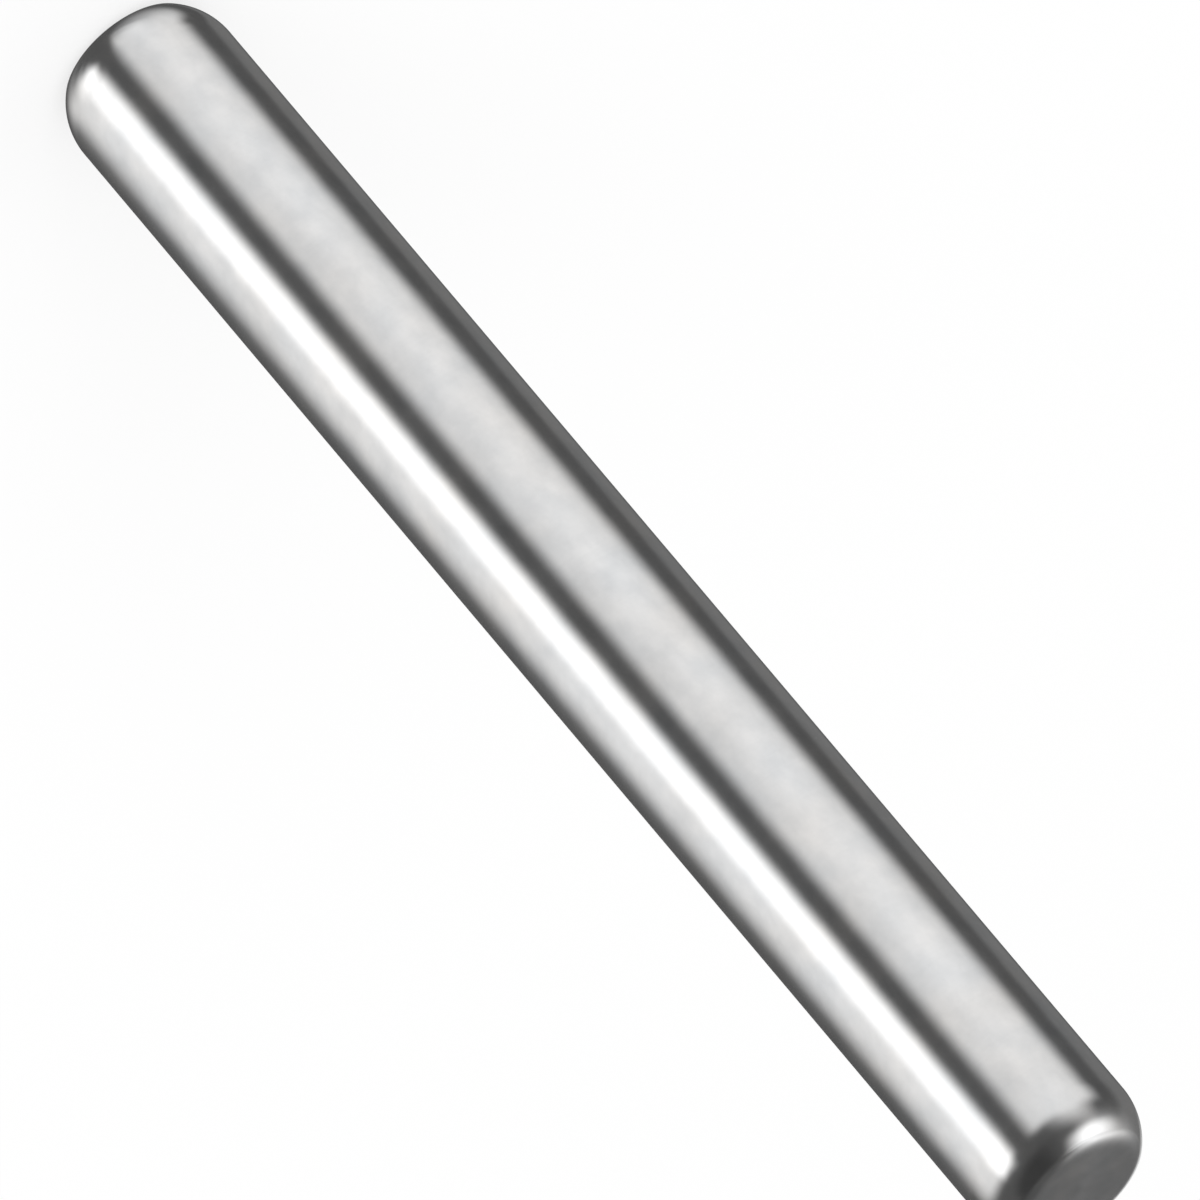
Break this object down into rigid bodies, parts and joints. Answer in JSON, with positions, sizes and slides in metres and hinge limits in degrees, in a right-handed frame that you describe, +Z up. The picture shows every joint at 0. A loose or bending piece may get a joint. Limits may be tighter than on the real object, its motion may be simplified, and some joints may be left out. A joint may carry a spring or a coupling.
{
  "type": "metering pin",
  "caption": "Solid ground steel pin with a straight round side and blended, flat-faced rounded ends, which slides in a close bore to meter a flow.",
  "frame": {"origin": "centre of the lower end face, on the surface that the pin stands on", "axes": "+Z up along the pin's axis; X and Y are alike, because the pin is round"},
  "size_m": [0.004, 0.004, 0.035],
  "materials": {
    "polished_steel": "centreless ground and tumble polished"
  },
  "bodies": {
    "root": {"metering_pin": "polished_steel"}
  },
  "joints": []
}
